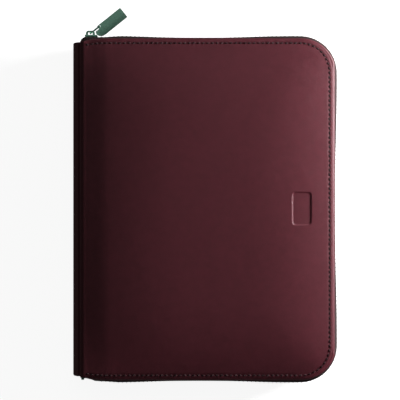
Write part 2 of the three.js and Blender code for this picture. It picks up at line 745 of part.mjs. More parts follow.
const backCover = new THREE.Group();
organiser.add(backCover);
addCover(backCover, backSide);
piece(backCover, 'pad_pocket',
  pocket(backSide, POCKET_LEFT, PAD_POCKET_RIGHT, PAD_POCKET_BOTTOM, PAD_POCKET_TOP), liningLeather);
piece(backCover, 'pen_loop', penLoop(), liningLeather);
addSlider(backCover);

const spine = new THREE.Group();
backCover.add(spine);
piece(spine, 'spine_leather', spineLeather(), burgundyLeather);
piece(spine, 'spine_padding', spinePadding(), foam);
piece(spine, 'spine_board',
  spineSheet(SPINE_BOARD_OUTER_X, SPINE_BOARD_INNER_X, SPINE_BOARD_END_INSET), greyBoard);
piece(spine, 'spine_lining',
  spineSheet(SPINE_BOARD_INNER_X, SPINE_LINING_INNER_X, LINING_EDGE_INSET), liningFabric);
addRingMechanism(spine);

const frontCover = new THREE.Group();
spine.add(frontCover);
addCover(frontCover, frontSide);
addFrontPockets(frontCover);

export default organiser;
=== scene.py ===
"""The looks of a leather zip-around organiser case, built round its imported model.

Shapes are worked out in millimetres and turned into metres when a mesh is made. The two covers are
mirror images about the case's middle plane, so a height here is a distance from that plane, and
the name of a side says which way it points.
"""

import json
import math

import bmesh
import bpy
import numpy as np
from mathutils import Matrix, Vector


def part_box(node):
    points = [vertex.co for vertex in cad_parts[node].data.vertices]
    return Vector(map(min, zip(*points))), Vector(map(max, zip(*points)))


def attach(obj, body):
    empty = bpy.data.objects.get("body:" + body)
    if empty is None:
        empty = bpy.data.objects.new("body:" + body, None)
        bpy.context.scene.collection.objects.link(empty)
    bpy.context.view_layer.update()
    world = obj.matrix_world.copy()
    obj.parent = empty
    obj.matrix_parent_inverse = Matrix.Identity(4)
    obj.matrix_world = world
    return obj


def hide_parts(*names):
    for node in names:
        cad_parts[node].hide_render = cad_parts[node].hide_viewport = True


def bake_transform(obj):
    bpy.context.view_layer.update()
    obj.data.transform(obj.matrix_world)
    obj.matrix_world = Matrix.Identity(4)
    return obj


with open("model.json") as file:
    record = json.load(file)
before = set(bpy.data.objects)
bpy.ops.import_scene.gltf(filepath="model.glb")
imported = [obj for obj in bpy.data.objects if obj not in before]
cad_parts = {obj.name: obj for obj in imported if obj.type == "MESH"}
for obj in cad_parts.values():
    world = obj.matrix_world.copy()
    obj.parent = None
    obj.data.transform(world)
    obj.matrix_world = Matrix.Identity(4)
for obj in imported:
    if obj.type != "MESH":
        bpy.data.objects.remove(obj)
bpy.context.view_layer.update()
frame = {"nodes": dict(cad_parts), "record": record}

MM = 0.001


def box_mm(node):
    """Lowest and highest corner of a CAD node, in millimetres."""
    low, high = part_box(node)
    return np.array(low) / MM, np.array(high) / MM


# ------------------------------------------------------------------ sizes from the frame

LEATHER_LOW, LEATHER_HIGH = box_mm("front_leather")
SPINE_LOW, SPINE_HIGH = box_mm("spine_leather")
TAPE_START_X = box_mm("zip_tape_front")[0][0]

TOP_Z = LEATHER_HIGH[2]
MID_Z = TOP_Z / 2
RIGHT = LEATHER_HIGH[0]
LEFT = LEATHER_LOW[0]
HALF_LENGTH = LEATHER_HIGH[1]
SPINE_X = SPINE_LOW[0]
SPINE_HALF_LENGTH = SPINE_HIGH[1]
BODY = {"front": "front_cover", "back": "back_cover"}
SIGN = {"front": 1, "back": -1}

# ------------------------------------------------------------------ leather sizes, in mm

CORNER_RADIUS = 23.5
LEFT_HALF_LENGTH = 115.8
TAPER_LENGTH = 17
MARGIN_HEIGHT = 17.5
UNDER_HEIGHT = 15.05
EDGE_ROUND = 1.1
STITCH_INSET = 3.4
STITCH_PITCH = 3.2
STITCH_LENGTH = 2.35
STITCH_RADIUS = 0.52
STITCH_LIFT = 0.12
STITCH_SLANT = math.radians(9)
GROOVE_DEPTH = 0.16
GROOVE_WIDTH = 0.55
MARGIN_ROLL = 0.42
MARGIN_ROLL_WIDTH = 2.3
CROWN_START = 3.3
CROWN_WIDTH = 58
CROWN_HEIGHT = 3.1
CROWN_STEEPNESS = 2.5
CROWN_CORNER_POWER = 5.7
CROWN_SOFT_START = 1.8
SPINE_SIDE_HEIGHT = 16.9
ROLL_END_X = -22
SPINE_ARC_RADIUS = 34.9
SPINE_ARC_END = math.radians(22.6)
PANEL_CENTRE = (66.4, 0.5)
PANEL_HALF = (6.4, 11.2)
PANEL_CORNER = 2.4
PANEL_DEPTH = 0.4
PANEL_EDGE = 0.7

# the section over the hinge, from the end of the spine's arc to the cover's flat margin: x, height
HINGE_SECTION = [
    (-88.75, 14.75),
    (-88.15, 15.05),
    (-87.6, 14.85),
    (-87.25, 14.95),
    (-86.95, 15.5),
    (-86.5, 16.1),
    (-85.6, 16.6),
    (-84.4, 16.9),
]
SECTION_END_X = HINGE_SECTION[-1][0]

# ------------------------------------------------------------------ mesh helpers


def mesh_object(name, vertices_mm, faces, material, uvs=None, smooth=True):
    """A new object from points in millimetres. uvs holds one pair for each vertex, in millimetres."""
    mesh = bpy.data.meshes.new(name)
    mesh.from_pydata((np.asarray(vertices_mm, float) * MM).tolist(), [], faces)
    mesh.update()
    mesh.polygons.foreach_set("use_smooth", [smooth] * len(mesh.polygons))
    if uvs is not None:
        layer = mesh.uv_layers.new(name="UVMap")
        loop_vertices = np.empty(len(mesh.loops), int)
        mesh.loops.foreach_get("vertex_index", loop_vertices)
        layer.data.foreach_set("uv", (np.asarray(uvs, float)[loop_vertices] * MM).ravel())
    obj = bpy.data.objects.new(name, mesh)
    bpy.context.scene.collection.objects.link(obj)
    obj.data.materials.append(material)
    return obj


def grid_faces(rows, columns, flip=False, wrap=False, start=0):
    """Quads over points that are stored row by row. wrap joins the last column to the first."""
    faces = []
    last = columns if wrap else columns - 1
    for r in range(rows - 1):
        for c in range(last):
            a = start + r * columns + c
            b = start + r * columns + (c + 1) % columns
            quad = (a, b, b + columns, a + columns)
            faces.append(quad[::-1] if flip else quad)
    return faces


def repeated(template_vertices, template_faces, frames):
    """Copies of one small template: frames holds an origin and three axes for each copy."""
    vertices, faces = [], []
    count = len(template_vertices)
    for k, (origin, axes) in enumerate(frames):
        vertices.append(template_vertices @ np.asarray(axes) + np.asarray(origin))
        faces.extend([tuple(i + k * count for i in face) for face in template_faces])
    return np.concatenate(vertices), faces


def capsule(length, radius, sides=6, rings=5, flatten=1.0):
    """A short thread along x with tapering ends."""
    vertices = []
    for r in range(rings):
        t = r / (rings - 1) * 2 - 1
        width = radius * math.sqrt(max(0.0, 1 - abs(t) ** 3)) + radius * 0.12
        for s in range(sides):
            angle = 2 * math.pi * s / sides
            vertices.append((t * length / 2, width * math.cos(angle), width * math.sin(angle) * flatten))
    faces = grid_faces(rings, sides, wrap=True, flip=True)
    faces.append(tuple(range(sides)))
    faces.append(tuple(range((rings - 1) * sides, rings * sides))[::-1])
    return np.array(vertices), faces


def bevelled_block(size, bevel):
    """A small block with rounded edges, centred on the origin."""
    bm = bmesh.new()
    bmesh.ops.create_cube(bm, size=1)
    bmesh.ops.scale(bm, vec=size, verts=bm.verts)
    bmesh.ops.bevel(bm, geom=bm.edges[:], offset=bevel, segments=1, affect="EDGES", profile=0.5)
    vertices = np.array([v.co[:] for v in bm.verts])
    faces = [tuple(v.index for v in f.verts) for f in bm.faces]
    bm.free()
    return vertices, faces


def smooth_step(t):
    """A rise from 0 to 1 with no slope at either end."""
    t = np.clip(t, 0, 1)
    return t * t * (3 - 2 * t)


def catmull(points, steps):
    """A smooth curve through a few points."""
    p = np.asarray(points, float)
    p = np.vstack([2 * p[0] - p[1], p, 2 * p[-1] - p[-2]])
    curve = []
    for i in range(1, len(p) - 2):
        for k in range(steps):
            t = k / steps
            a = 2 * p[i]
            b = p[i + 1] - p[i - 1]
            c = 2 * p[i - 1] - 5 * p[i] + 4 * p[i + 1] - p[i + 2]
            d = -p[i - 1] + 3 * p[i] - 3 * p[i + 1] + p[i + 2]
            curve.append(0.5 * (a + b * t + c * t**2 + d * t**3))
    curve.append(p[-2])
    return np.array(curve)


def path_normals(path):
    """Unit normals on the right-hand side of a path in a plane."""
    tangent = np.gradient(path, axis=0)
    normal = np.stack([tangent[:, 1], -tangent[:, 0]], 1)
    return normal / np.linalg.norm(normal, axis=1)[:, None]


def from_middle(vertices, side):
    """Turns heights away from the case's middle plane into z, in place."""
    vertices[:, 2] = MID_Z + SIGN[side] * vertices[:, 2]


def soften(obj, width_mm, segments, angle_degrees):
    """A bevel on the edges sharper than an angle."""
    modifier = obj.modifiers.new("soft_edges", "BEVEL")
    modifier.width = width_mm * MM
    modifier.segments = segments
    modifier.limit_method = "ANGLE"
    modifier.angle_limit = math.radians(angle_degrees)


# ------------------------------------------------------------------ materials


def new_material(name):
    material = bpy.data.materials.new(name)
    material.use_nodes = True
    nodes = material.node_tree.nodes
    return material, nodes, material.node_tree.links, nodes["Principled BSDF"]


def texture(nodes, links, kind, coordinate, scale, **settings):
    """A texture node on an output of Texture Coordinate, scaled per metre."""
    source = nodes.new("ShaderNodeTexCoord")
    mapping = nodes.new("ShaderNodeMapping")
    mapping.inputs["Scale"].default_value = scale if hasattr(scale, "__len__") else (scale,) * 3
    node = nodes.new(kind)
    links.new(source.outputs[coordinate], mapping.inputs["Vector"])
    links.new(mapping.outputs["Vector"], node.inputs["Vector"])
    for key, value in settings.items():
        if key in node.inputs:
            node.inputs[key].default_value = value
        else:
            setattr(node, key, value)
    return node


def ramp(nodes, links, value, stops):
    node = nodes.new("ShaderNodeValToRGB")
    while len(node.color_ramp.elements) < len(stops):
        node.color_ramp.elements.new(0.5)
    for element, (position, colour) in zip(node.color_ramp.elements, stops):
        element.position = position
        element.color = (*colour, 1)
    links.new(value, node.inputs["Fac"])
    return node.outputs["Color"]


def scaled(nodes, links, value, factor, offset=0.0):
    node = nodes.new("ShaderNodeMath")
    node.operation = "MULTIPLY_ADD"
    links.new(value, node.inputs[0])
    node.inputs[1].default_value = factor
    node.inputs[2].default_value = offset
    return node.outputs[0]


def added(nodes, links, first, second):
    node = nodes.new("ShaderNodeMath")
    links.new(first, node.inputs[0])
    links.new(second, node.inputs[1])
    return node.outputs[0]


def bump(nodes, links, shader, height, distance_mm, strength=1.0):
    node = nodes.new("ShaderNodeBump")
    node.inputs["Distance"].default_value = distance_mm * MM
    node.inputs["Strength"].default_value = strength
    links.new(height, node.inputs["Height"])
    links.new(node.outputs["Normal"], shader.inputs["Normal"])


def link_colour(nodes, links, shader, value, low_stop, high_stop):
    """Base colour from a value, between two stops of position and colour."""
    links.new(ramp(nodes, links, value, [low_stop, high_stop]), shader.inputs["Base Color"])


def link_roughness(nodes, links, shader, value, spread, roughness):
    """Roughness that a value between 0 and 1 moves by half the spread to each side."""
    links.new(scaled(nodes, links, value, spread, roughness - spread / 2), shader.inputs["Roughness"])


def leather_material(name, light, dark, roughness, grain_mm, grain_depth_mm):
    """Smooth calf: a fine pebble grain with creases, mottled dye and an uneven polish."""
    material, nodes, links, shader = new_material(name)
    mottle = texture(nodes, links, "ShaderNodeTexNoise", "Object", 38, Detail=5.0, Roughness=0.6)
    link_colour(nodes, links, shader, mottle.outputs["Fac"], (0.3, dark), (0.72, light))
    polish = texture(nodes, links, "ShaderNodeTexNoise", "Object", 90, Detail=4.0, Roughness=0.55)
    link_roughness(nodes, links, shader, polish.outputs["Fac"], 0.16, roughness)
    pebble = texture(nodes, links, "ShaderNodeTexVoronoi", "Object", 1 / (grain_mm * MM),
                     feature="DISTANCE_TO_EDGE")
    creases = texture(nodes, links, "ShaderNodeTexNoise", "Object", 420, Detail=6.0, Roughness=0.65)
    edge = nodes.new("ShaderNodeMapRange")
    edge.inputs["From Max"].default_value = 0.22
    links.new(pebble.outputs["Distance"], edge.inputs["Value"])
    grain = added(nodes, links, edge.outputs["Result"], scaled(nodes, links, creases.outputs["Fac"], 1.5))
    bump(nodes, links, shader, grain, grain_depth_mm)
    shader.inputs["Specular IOR Level"].default_value = 0.5
    shader.inputs["Coat Weight"].default_value = 0.12
    shader.inputs["Coat Roughness"].default_value = 0.38
    return material


def thread_material(name, light, dark):
    """Dull twisted thread."""
    material, nodes, links, shader = new_material(name)
    twist = texture(nodes, links, "ShaderNodeTexWave", "Object", 1500, Distortion=1.5, Scale=1.0)
    link_colour(nodes, links, shader, twist.outputs["Fac"], (0.1, dark), (0.8, light))
    bump(nodes, links, shader, twist.outputs["Fac"], 0.06)
    shader.inputs["Roughness"].default_value = 0.6
    shader.inputs["Specular IOR Level"].default_value = 0.25
    return material


def weave_material(name, light, dark, threads_mm, coordinate="Object", depth_mm=0.12, sheen=0.15):
    """Plain weave: warp and weft ribs in two directions, with slubs."""
    material, nodes, links, shader = new_material(name)
    scale = 1 / (threads_mm * MM) / 20
    wave = "ShaderNodeTexWave"
    warp = texture(nodes, links, wave, coordinate, scale, Scale=3.2, bands_direction="X")
    weft = texture(nodes, links, wave, coordinate, scale, Scale=3.2, bands_direction="Y")
    slub = texture(nodes, links, "ShaderNodeTexNoise", coordinate, 260, Detail=4.0)
    ribs = added(nodes, links, warp.outputs["Fac"], weft.outputs["Fac"])
    total = added(nodes, links, ribs, scaled(nodes, links, slub.outputs["Fac"], 1.2))
    average = scaled(nodes, links, total, 0.33)
    link_colour(nodes, links, shader, average, (0.2, dark), (0.8, light))
    bump(nodes, links, shader, total, depth_mm)
    shader.inputs["Roughness"].default_value = 0.85
    shader.inputs["Sheen Weight"].default_value = sheen
    return material


def metal_material(name, colour, roughness, brush_depth_mm):
    """Plated metal with fine brush lines and faint handling marks."""
    material, nodes, links, shader = new_material(name)
    brush = texture(nodes, links, "ShaderNodeTexNoise", "Object", (900, 900, 6000), Detail=3.0)
    marks = texture(nodes, links, "ShaderNodeTexNoise", "Object", 160, Detail=5.0, Roughness=0.7)
    deep = tuple(c * 0.72 for c in colour)
    link_colour(nodes, links, shader, marks.outputs["Fac"], (0.35, deep), (0.6, colour))
    link_roughness(nodes, links, shader, marks.outputs["Fac"], 0.22, roughness)
    bump(nodes, links, shader, brush.outputs["Fac"], brush_depth_mm)
    shader.inputs["Metallic"].default_value = 1.0
    return material


def plastic_material(name, colour, roughness):
    """Moulded nylon with a faint speckle."""
    material, nodes, links, shader = new_material(name)
    speck = texture(nodes, links, "ShaderNodeTexNoise", "Object", 700, Detail=3.0)
    light = tuple(c * 1.5 for c in colour)
    link_colour(nodes, links, shader, speck.outputs["Fac"], (0.35, colour), (0.75, light))
    link_roughness(nodes, links, shader, speck.outputs["Fac"], 0.2, roughness)
    bump(nodes, links, shader, speck.outputs["Fac"], 0.03)
    return material


LEATHER = leather_material(
    "burgundy_leather", (0.128, 0.0175, 0.0295), (0.104, 0.0135, 0.023), 0.43, 0.95, 0.02)
POCKET_LEATHER = leather_material(
    "pocket_leather", (0.075, 0.018, 0.022), (0.055, 0.012, 0.015), 0.52, 0.8, 0.05)
THREAD = thread_material("burgundy_thread", (0.035, 0.004, 0.008), (0.01, 0.0015, 0.0025))
POCKET_THREAD = thread_material("pocket_thread", (0.12, 0.03, 0.04), (0.05, 0.012, 0.016))
# painted light: the lining's two colours are lifted above the cloth's own to stand in for fill light inside
# the open case
LINING = weave_material(
    "lining_weave", (0.075, 0.02, 0.026), (0.042, 0.011, 0.015), 0.7, sheen=0.04)
TAPE = weave_material(
    "zip_tape_weave", (0.03, 0.008, 0.0095), (0.012, 0.0032, 0.004), 0.55, "UV", sheen=0.0)
TEETH = plastic_material("zip_teeth_nylon", (0.012, 0.006, 0.007), 0.42)
GUNMETAL = metal_material("gunmetal", (0.43, 0.84, 0.64), 0.33, 0.003)
NICKEL = metal_material("nickel", (0.62, 0.61, 0.58), 0.22, 0.002)
BOARD = weave_material("grey_board", (0.42, 0.38, 0.32), (0.33, 0.3, 0.25), 0.8, depth_mm=0.05)
FOAM = weave_material("foam", (0.65, 0.61, 0.53), (0.5, 0.46, 0.4), 0.6, depth_mm=0.2)

SLOT_MATERIALS = {
    "leather": LEATHER,
    "lining_fabric": LINING,
    "lining_leather": POCKET_LEATHER,
    "board": BOARD,
    "foam": FOAM,
    "zip_tape": TAPE,
    "zip_teeth": TEETH,
    "gunmetal": GUNMETAL,
    "nickel": NICKEL,
}

# ------------------------------------------------------------------ the covers' outline


def half_length_at(x):
    """Half the leather's length at x: the spine's, then the taper, then the full cover."""
    t = np.clip((x - LEFT) / TAPER_LENGTH, 0, 1)
    taper = LEFT_HALF_LENGTH + (HALF_LENGTH - LEFT_HALF_LENGTH) * (1 - (1 - t) ** 2)
    corner = np.clip((x - (RIGHT - CORNER_RADIUS)) / CORNER_RADIUS, 0, 1)
    rounded = CORNER_RADIUS * (1 - np.sqrt(1 - corner**2))
    return np.where(x < LEFT, SPINE_HALF_LENGTH, taper - rounded)


def inset_at(x, y):
    """Distance in from the leather's edge on its three stitched sides."""
    corner_x = RIGHT - CORNER_RADIUS
    corner_y = HALF_LENGTH - CORNER_RADIUS
    dx = x - corner_x
    dy = np.abs(y) - corner_y
    in_corner = CORNER_RADIUS - np.hypot(np.maximum(dx, 0), np.maximum(dy, 0))
    straight = np.minimum(CORNER_RADIUS - dx, half_length_at(np.minimum(x, corner_x)) - np.abs(y))
    return np.where((dx > 0) & (dy > 0), in_corner, straight)


def panel_depth(x, y):
    """A plain blank rounded panel pressed into the front."""
    px = np.abs(x - PANEL_CENTRE[0]) - (PANEL_HALF[0] - PANEL_CORNER)
    py = np.abs(y - PANEL_CENTRE[1]) - (PANEL_HALF[1] - PANEL_CORNER)
    outside = np.hypot(np.maximum(px, 0), np.maximum(py, 0)) - PANEL_CORNER
    outside += np.minimum(np.maximum(px, py), 0)
    return PANEL_DEPTH * (1 - smooth_step(outside / PANEL_EDGE + 0.5))


def crown_share(x, y):
    """How much of its full height the padding has reached: 0 near the three stitched edges, 1 far in."""
    to_right = np.clip(1 - (RIGHT - x) / CROWN_WIDTH, 0, 1)
    to_end = np.clip(1 - (HALF_LENGTH - np.abs(y)) / CROWN_WIDTH, 0, 1)
    nearness = (to_right**CROWN_CORNER_POWER + to_end**CROWN_CORNER_POWER) ** (1 / CROWN_CORNER_POWER)
    full = 1 - CROWN_START / CROWN_WIDTH
    return 1 - np.minimum(nearness / full, 1) ** CROWN_STEEPNESS


def cover_height(x, y, side):
    """Height of the padded leather over a cover, from the hinge to the zip."""
    inset = inset_at(x, y)
    crown = crown_share(x, y) * smooth_step((inset - CROWN_START) / CROWN_SOFT_START)
    spine_share = np.clip((x - SECTION_END_X) / (ROLL_END_X - SECTION_END_X), 0, 1)
    roll = 1 - (1 - spine_share) ** 2
    groove = GROOVE_DEPTH * np.exp(-(((inset - STITCH_INSET) / GROOVE_WIDTH) ** 2))
    settle = 0.05 * np.sin(x / 23 + 1.3) * np.sin(y / 31) + 0.03 * np.sin(x / 11 - y / 17)
    margin = SPINE_SIDE_HEIGHT + (MARGIN_HEIGHT - SPINE_SIDE_HEIGHT) * smooth_step((x - SECTION_END_X) / 18)
    edge_roll = MARGIN_ROLL * np.clip(1 - (inset - EDGE_ROUND) / MARGIN_ROLL_WIDTH, 0, 1) ** 2
    height = margin - groove - edge_roll + (CROWN_HEIGHT + settle) * crown * roll
    if side == "front":
        height = height - panel_depth(x, y)
    return height


# ------------------------------------------------------------------ the leather wrap


def wrap_columns():
    """x and height of the section from the middle of the spine to the edge of the flat margin."""
    centre_x = SPINE_X + SPINE_ARC_RADIUS
    angles = np.linspace(0, SPINE_ARC_END, 22)
    arc = np.stack([centre_x - SPINE_ARC_RADIUS * np.cos(angles), SPINE_ARC_RADIUS * np.sin(angles)], 1)
    hinge = catmull([arc[-2], arc[-1], *HINGE_SECTION], 5)[5:]
    return np.vstack([arc[:-1], hinge])


def cover_columns(start_x):
    """x of the columns over the cover, closer together over the pressed panel and at the edge."""
    corner_x = RIGHT - CORNER_RADIUS
    radius = CORNER_RADIUS - EDGE_ROUND
    plain = np.arange(start_x + 1.2, corner_x - 9, 1.6)
    panel = np.linspace(corner_x - 8.4, corner_x, 20)
    corner = corner_x + radius * np.sin(np.linspace(0, math.pi / 2, 56)[1:])
    return np.concatenate([plain, panel, corner])


def row_positions():
    """Rows from -1 to 1, closer together over the pressed panel and beside both edges."""
    edge = 1 - np.linspace(0, 7, 15) / HALF_LENGTH
    middle = np.linspace(-13.5, 13.5, 60) / HALF_LENGTH
    outer = np.arange(15, HALF_LENGTH - 8.4, 1.6) / HALF_LENGTH
    upper = np.concatenate([outer, edge[::-1]])
    return np.concatenate([-upper[::-1], middle, upper])


def rim_profile():
    """Offsets outwards and drops of the leather's turned edge, from its face round to its underside."""
    profile = []
    for k in range(1, 6):
        angle = math.pi / 2 * k / 5
        profile.append((EDGE_ROUND * math.sin(angle), EDGE_ROUND * (1 - math.cos(angle))))
    thickness = MARGIN_HEIGHT - MARGIN_ROLL - UNDER_HEIGHT
    turn = thickness - EDGE_ROUND
    for k in range(0, 5):
        angle = math.pi / 2 * k / 4
        profile.append((EDGE_ROUND - turn * (1 - math.cos(angle)), thickness - turn + turn * math.sin(angle)))
    profile.append((EDGE_ROUND - 6.5, thickness))
    return profile


def leather_wrap(side):
    """One cover's leather with half of the spine's, as one sheet with its turned edges."""
    section = wrap_columns()
    xs = np.concatenate([section[:, 0], cover_columns(section[-1, 0])])
    rows = row_positions()
    half = half_length_at(xs) - EDGE_ROUND
    x = np.repeat(xs[None, :], len(rows), 0)
    y = rows[:, None] * half[None, :]
    over_cover = np.arange(len(xs)) >= len(section)
    base = np.concatenate([section[:, 1], np.full(over_cover.sum(), MARGIN_HEIGHT)])
    height = np.where(over_cover[None, :], cover_height(x, y, side), base[None, :])
    joining = smooth_step((x - section[-1, 0]) / 3)
    height = np.where(over_cover[None, :], height * joining + section[-1, 1] * (1 - joining), height)
    vertices = np.stack([x, y, height], 2).reshape(-1, 3)
    columns = len(xs)
    faces = grid_faces(len(rows), columns)

    # the loop round the open sides: bottom, right, then back along the top
    last_row = (len(rows) - 1) * columns
    loop = list(range(columns))
    loop += [r * columns + columns - 1 for r in range(1, len(rows) - 1)]
    loop += [last_row + c for c in range(columns - 1, -1, -1)]
    points = vertices[loop]
    corner_x = RIGHT - CORNER_RADIUS
    corner_y = HALF_LENGTH - CORNER_RADIUS
    out = np.stack([
        np.maximum(points[:, 0] - corner_x, 0),
        np.sign(points[:, 1]) * np.maximum(np.abs(points[:, 1]) - corner_y, 0),
        np.zeros(len(points)),
    ], 1)
    out[points[:, 0] < corner_x, 0] = 0
    out /= np.linalg.norm(out, axis=1)[:, None]

    # down is away from the outer face: straight down over the cover, inwards round the spine
    slope = np.gradient(base, xs)
    inward = np.stack([slope, np.zeros(columns), -np.ones(columns)], 1)
    inward /= np.linalg.norm(inward, axis=1)[:, None]
    centre_x = SPINE_X + SPINE_ARC_RADIUS
    for c in range(len(section)):
        if xs[c] < LEFT - 1.3:
            radial = np.array([centre_x - xs[c], 0, -base[c]])
            inward[c] = radial / np.linalg.norm(radial)
    inward[over_cover] = (0, 0, -1)
    down = inward[np.array(loop) % columns]
    depth_share = np.where(points[:, 0] < LEFT + 1.5, 0.55, 1.0)

    start = len(vertices)
    rim = []
    for offset, drop in rim_profile():
        rim.append(points + out * offset + down * (drop * depth_share)[:, None])
    count = len(loop)
    ring_faces = []
    for k in range(count - 1):
        ring_faces.append((loop[k + 1], loop[k], start + k, start + k + 1))
    ring_faces += grid_faces(len(rim), count, start=start, flip=True)
    vertices = np.concatenate([vertices, *rim])
    faces += ring_faces

    from_middle(vertices, side)
    if side == "back":
        faces = [face[::-1] for face in faces]
    wrap = mesh_object(f"{side}_leather_wrap", vertices, faces, LEATHER)
    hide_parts(f"{side}_leather", f"{side}_padding")
    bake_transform(wrap)
    return wrap


# ------------------------------------------------------------------ paths round the three open sides


def side_path(inset, left_x, pitch):
    """Points and tangents at an even pitch along the bottom, round the right and back along the top."""
    radius = CORNER_RADIUS - inset
    corner_x = RIGHT - CORNER_RADIUS
    corner_y = HALF_LENGTH - CORNER_RADIUS
    line = corner_x - left_x
    arc = radius * math.pi / 2
    total = 2 * line + 2 * arc + 2 * corner_y
    count = max(2, round(total / pitch))
    points, tangents, distances = [], [], []
    for k in range(count + 1):
        s = total * k / count
        distances.append(s)
        if s <= line:
            point, angle = (left_x + s, -(corner_y + radius)), 0
        elif s <= line + arc:
            turn = (s - line) / radius
            point, angle = (corner_x + radius * math.sin(turn), -corner_y - radius * math.cos(turn)), turn
        elif s <= line + arc + 2 * corner_y:
            point, angle = (corner_x + radius, -corner_y + s - line - arc), math.pi / 2
        elif s <= line + 2 * arc + 2 * corner_y:
            turn = (s - line - arc - 2 * corner_y) / radius
            point = (corner_x + radius * math.cos(turn), corner_y + radius * math.sin(turn))
            angle = math.pi / 2 + turn
        else:
            point, angle = (corner_x - (s - line - 2 * arc - 2 * corner_y), corner_y + radius), math.pi
        points.append(point)
        tangents.append((math.cos(angle), math.sin(angle)))
    return np.array(points), np.array(tangents), np.array(distances)


def edge_stitches(side):
    """The row of slanting stitches near the turned edge."""
    points, tangents, _ = side_path(STITCH_INSET, LEFT + 5.5, STITCH_PITCH)
    taper = half_length_at(points[:, 0]) - HALF_LENGTH
    straight = points[:, 0] < LEFT + TAPER_LENGTH
    points[straight, 1] += np.sign(points[straight, 1]) * taper[straight]
    heights = cover_height(points[:, 0], points[:, 1], side)
    frames = []
    cos_slant, sin_slant = math.cos(STITCH_SLANT), math.sin(STITCH_SLANT)
    for (x, y), (tx, ty), height in zip(points, tangents, heights):
        along = np.array([tx * cos_slant - ty * sin_slant, tx * sin_slant + ty * cos_slant, 0])
        across = np.array([-along[1], along[0], 0])
        up = np.array([0, 0, 1])
        frames.append(((x, y, height + STITCH_LIFT), (along, across, up)))
    vertices, faces = repeated(*capsule(STITCH_LENGTH, STITCH_RADIUS, flatten=0.6), frames)
    from_middle(vertices, side)
    if side == "back":
        faces = [face[::-1] for face in faces]
    row = mesh_object(f"{side}_edge_stitches", vertices, faces, THREAD)
    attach(row, BODY[side])
    return row


# ------------------------------------------------------------------ zip

WAVE = 0.75
WAVE_PEAK_X = 58
WAVE_PERIOD_X = 124
WAVE_PEAK_Y = 89.5
WAVE_START_X = -72
LOW_END = 2.6
TAPE_THICKNESS = 0.55
TAPE_TOP = 14.9
TAPE_SECTION = [
    (-5.5, 14.85),
    (-2.0, 14.8),
    (-0.1, 14.45),
    (0.75, 13.2),
    (1.15, 10.5),
    (1.2, 7.0),
    (1.0, 4.2),
    (0.75, 2.7),
]
TEETH_START_X = -84
TOOTH_PITCH = 2.9
TOOTH_HEAD = (1.32, 1.9, 1.5)
TOOTH_STEM = (0.95, 2.1, 3.0)
TOOTH_OFFSET = 0.72
HEAD_HEIGHT = 0.05
STEM_HEIGHT = 2.0


def wave_at(x, y):
    """How far the soft zip wall stands in or out along its run."""
    along_x = WAVE * np.cos(2 * math.pi * (WAVE_PEAK_X - x) / WAVE_PERIOD_X)
    along_y = WAVE * np.cos(math.pi * (WAVE_PEAK_Y - y) / WAVE_PEAK_Y)
    wave = np.where(x < WAVE_PEAK_X, along_x, WAVE)
    wave = np.where((x > RIGHT - CORNER_RADIUS) & (np.abs(y) < WAVE_PEAK_Y), along_y, wave)
    wave = wave * smooth_step((x - WAVE_START_X) / 14)
    bottom_end = -LOW_END * (1 - smooth_step((x - TAPE_START_X) / 15))
    top_end = -LOW_END * (1 - smooth_step((x - TAPE_START_X) / 3))
    return wave + np.where(y > 0, top_end, bottom_end)


def wall_frames(left_x, pitch):
    """side_path on the leather's edge, with the direction that points out of the case."""
    points, tangents, distances = side_path(0, left_x, pitch)
    outwards = np.stack([tangents[:, 1], -tangents[:, 0]], 1)
    return points, tangents, outwards, distances


def zip_tape(side):
    """The woven tape: sewn in under the leather's edge, then down the wall to the teeth."""
    section = catmull(TAPE_SECTION, 4)
    inner = section + path_normals(section) * TAPE_THICKNESS
    loop = np.vstack([section, inner[::-1]])
    points, _, outwards, distances = wall_frames(TAPE_START_X, 2.0)
    wave = wave_at(points[:, 0], points[:, 1])
    vertices, uvs = [], []
    lengths = np.concatenate([[0], np.cumsum(np.linalg.norm(np.diff(loop, axis=0), axis=1))])
    for point, out, w, s in zip(points, outwards, wave, distances):
        free = smooth_step((TAPE_TOP - loop[:, 1]) / 6)
        offset = loop[:, 0] + np.where(w < -WAVE, w, w * free)
        vertices.append(np.stack([point[0] + out[0] * offset, point[1] + out[1] * offset, loop[:, 1]], 1))
        uvs.append(np.stack([np.full(len(loop), s), lengths], 1))
    count = len(loop)
    faces = grid_faces(len(points), count, wrap=True)
    faces.append(tuple(range(count)))
    faces.append(tuple(range((len(points) - 1) * count, len(points) * count))[::-1])
    vertices = np.concatenate(vertices)
    from_middle(vertices, side)
    if side == "back":
        faces = [face[::-1] for face in faces]
    tape = mesh_object(f"{side}_zip_tape", vertices, faces, TAPE, uvs=np.concatenate(uvs))
    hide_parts(f"zip_tape_{side}")
    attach(tape, BODY[side])
    return tape


